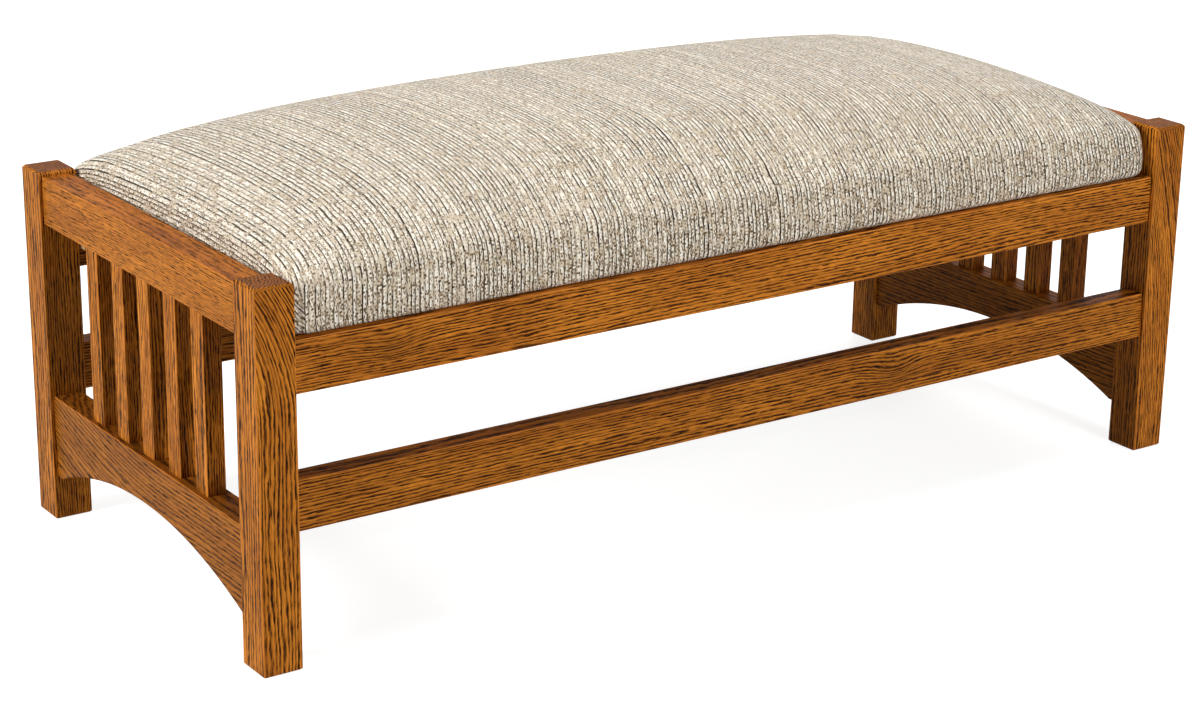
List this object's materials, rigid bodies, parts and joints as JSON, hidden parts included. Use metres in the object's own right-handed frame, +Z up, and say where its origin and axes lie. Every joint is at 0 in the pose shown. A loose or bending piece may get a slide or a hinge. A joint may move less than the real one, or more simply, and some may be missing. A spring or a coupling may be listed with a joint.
{
  "type": "mission bench",
  "caption": "Low mission bench: square oak posts, slatted and arched end frames, long side rails and a crowned upholstered seat.",
  "frame": {"origin": "centre of the bench's footprint, on the floor", "axes": "+X along the bench to its right end, +Y to its back, +Z up"},
  "size_m": [1.25, 0.549, 0.4775],
  "materials": {
    "stained_oak": "satin varnish over a warm brown stain",
    "cleat_wood": "planed, unfinished",
    "zinc_steel": "zinc plated",
    "plywood": "sanded, unfinished",
    "foam": "open-cell upholstery foam, stands in as fabric",
    "woven_fabric": "chenille weave, oatmeal with brown ribs",
    "dust_cloth": "black non-woven cloth"
  },
  "bodies": {
    "root": {"post_front_left": "stained_oak", "post_front_right": "stained_oak", "post_back_left": "stained_oak", "post_back_right": "stained_oak", "end_top_rail_left": "stained_oak", "end_arched_rail_left": "stained_oak", "end_slat_1_left": "stained_oak", "end_slat_2_left": "stained_oak", "end_slat_3_left": "stained_oak", "end_slat_4_left": "stained_oak", "end_slat_5_left": "stained_oak", "end_top_rail_right": "stained_oak", "end_arched_rail_right": "stained_oak", "end_slat_1_right": "stained_oak", "end_slat_2_right": "stained_oak", "end_slat_3_right": "stained_oak", "end_slat_4_right": "stained_oak", "end_slat_5_right": "stained_oak", "side_rail_upper_front": "stained_oak", "side_rail_lower_front": "stained_oak", "seat_cleat_front": "cleat_wood", "side_rail_upper_back": "stained_oak", "side_rail_lower_back": "stained_oak", "seat_cleat_back": "cleat_wood", "cleat_screws": "zinc_steel", "seat_screws": "zinc_steel", "seat_board": "plywood", "seat_foam": "foam", "seat_cover": "woven_fabric", "seat_dust_cover": "dust_cloth"}
  },
  "joints": []
}
